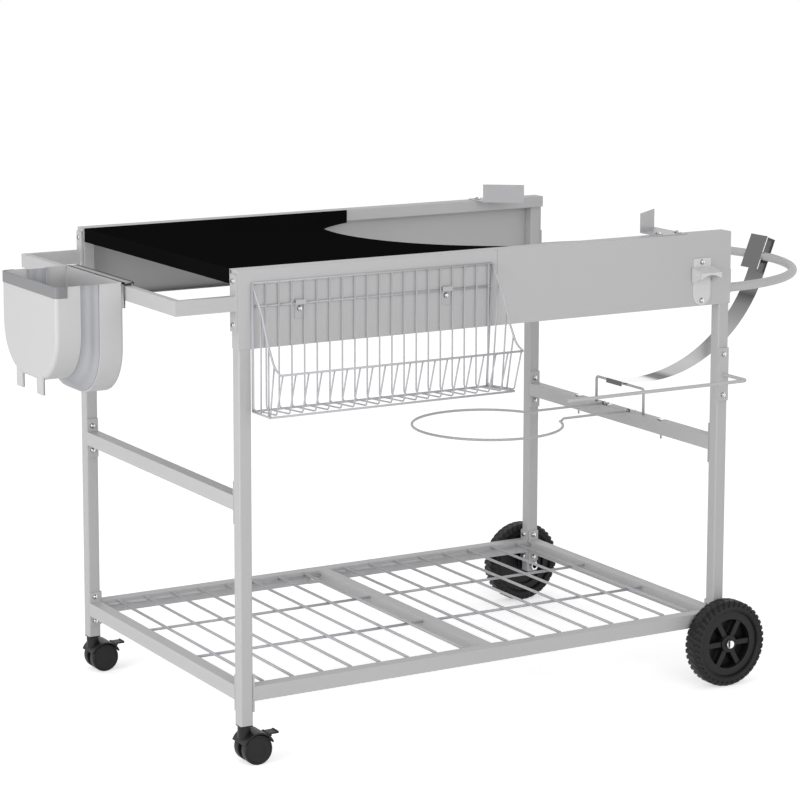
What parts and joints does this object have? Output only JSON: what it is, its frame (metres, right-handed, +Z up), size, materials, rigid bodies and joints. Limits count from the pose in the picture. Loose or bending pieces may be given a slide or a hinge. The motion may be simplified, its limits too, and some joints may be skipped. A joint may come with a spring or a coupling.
{
  "type": "grill cart",
  "caption": "Rolling cart for a kettle grill: steel frame with a round cut-out, side table, wire shelf, folding waste bin, basket, opener, towel rod and lid holder.",
  "frame": {"origin": "on the floor below the centre of the whole cart's bounding box", "axes": "+X towards the push handle, +Y towards the back, +Z up; the basket side faces -Y"},
  "size_m": [1.5144, 0.7628, 0.839],
  "materials": {
    "leg_paint": "satin powder coat",
    "frame_paint": "satin powder coat",
    "table_paint": "gloss enamel",
    "wire_paint": "satin powder coat",
    "black_plastic": "moulded",
    "tyre_plastic": "moulded",
    "bright_steel": "plated",
    "bin_plastic": "moulded",
    "membrane": "soft",
    "rim_plastic": "moulded"
  },
  "bodies": {
    "cart": {"leg_front_left": "leg_paint", "leg_back_left": "leg_paint", "leg_front_right": "leg_paint", "leg_back_right": "leg_paint", "apron_front_left": "frame_paint", "apron_front_right": "frame_paint", "apron_back_left": "frame_paint", "apron_back_right": "frame_paint", "apron_splices": "frame_paint", "table_top": "table_paint", "side_handle": "frame_paint", "push_handle": "frame_paint", "crossbar_left": "frame_paint", "crossbar_right": "frame_paint", "shelf_rail_front": "frame_paint", "shelf_rail_back": "frame_paint", "shelf_rail_left": "frame_paint", "shelf_rail_right": "frame_paint", "shelf_beam": "frame_paint", "shelf_grid_left": "wire_paint", "shelf_grid_right": "wire_paint", "foot_plugs": "black_plastic", "caster_sockets": "black_plastic", "wheel_axles": "bright_steel", "wheel_spacers": "black_plastic", "basket": "wire_paint", "basket_clips": "bright_steel", "bottle_opener": "bright_steel", "ash_ring": "wire_paint", "ash_clips": "bright_steel", "lid_rest": "wire_paint", "lid_strip": "bright_steel", "towel_holder": "frame_paint", "crossbar_pins": "bright_steel", "frame_bolts": "bright_steel", "shelf_bolts": "bright_steel", "fitting_bolts": "bright_steel", "bracket_screws": "bright_steel"},
    "wheel_front": {"wheel_front_tyre": "tyre_plastic", "wheel_front_hub": "black_plastic"},
    "wheel_back": {"wheel_back_tyre": "tyre_plastic", "wheel_back_hub": "black_plastic"},
    "caster_front": {"caster_front_body": "black_plastic"},
    "caster_front_wheels": {"caster_front_discs": "tyre_plastic"},
    "caster_front_lever": {"caster_front_brake": "black_plastic"},
    "caster_back": {"caster_back_body": "black_plastic"},
    "caster_back_wheels": {"caster_back_discs": "tyre_plastic"},
    "caster_back_lever": {"caster_back_brake": "black_plastic"},
    "bin": {"bin_rear_shell": "bin_plastic", "bin_membrane": "membrane"},
    "bin_front": {"bin_front_shell": "bin_plastic", "bin_rim": "rim_plastic"},
    "bracket_front": {"kettle_bracket_front": "bright_steel"},
    "bracket_back": {"kettle_bracket_back": "bright_steel"}
  },
  "joints": [
    {"name": "wheel_front_spin", "type": "hinge", "parent": "cart", "child": "wheel_front", "pos_m": [0.42113, -0.30245, 0.0768], "axis": [0, 1, 0], "continuous": true},
    {"name": "caster_front_swivel", "type": "hinge", "parent": "cart", "child": "caster_front", "pos_m": [-0.51487, -0.26995, 0.063], "axis": [0, 0, 1], "continuous": true},
    {"name": "caster_front_roll", "type": "hinge", "parent": "caster_front", "child": "caster_front_wheels", "pos_m": [-0.49887, -0.26995, 0.025], "axis": [0, 1, 0], "continuous": true},
    {"name": "caster_front_brake_tilt", "type": "hinge", "parent": "caster_front", "child": "caster_front_lever", "pos_m": [-0.47413, -0.26995, 0.04433], "axis": [0, 1, 0], "range_deg": [0, 18]},
    {"name": "bracket_front_slide", "type": "slide", "parent": "cart", "child": "bracket_front", "axis": [0, -1, 0], "range_m": [-0.01, 0.01]},
    {"name": "wheel_back_spin", "type": "hinge", "parent": "cart", "child": "wheel_back", "pos_m": [0.42113, 0.35855, 0.0768], "axis": [0, 1, 0], "continuous": true},
    {"name": "caster_back_swivel", "type": "hinge", "parent": "cart", "child": "caster_back", "pos_m": [-0.51487, 0.32605, 0.063], "axis": [0, 0, 1], "continuous": true},
    {"name": "caster_back_roll", "type": "hinge", "parent": "caster_back", "child": "caster_back_wheels", "pos_m": [-0.49887, 0.32605, 0.025], "axis": [0, 1, 0], "continuous": true},
    {"name": "caster_back_brake_tilt", "type": "hinge", "parent": "caster_back", "child": "caster_back_lever", "pos_m": [-0.47413, 0.32605, 0.04433], "axis": [0, 1, 0], "range_deg": [0, 18]},
    {"name": "bracket_back_slide", "type": "slide", "parent": "cart", "child": "bracket_back", "axis": [0, 1, 0], "range_m": [-0.01, 0.01]},
    {"name": "bin_lift", "type": "slide", "parent": "cart", "child": "bin", "axis": [0, 0, 1], "range_m": [0, 0.06]},
    {"name": "bin_fold", "type": "slide", "parent": "bin", "child": "bin_front", "axis": [1, 0, 0], "range_m": [0, 0.027], "deforming": ["bin_membrane"]}
  ]
}
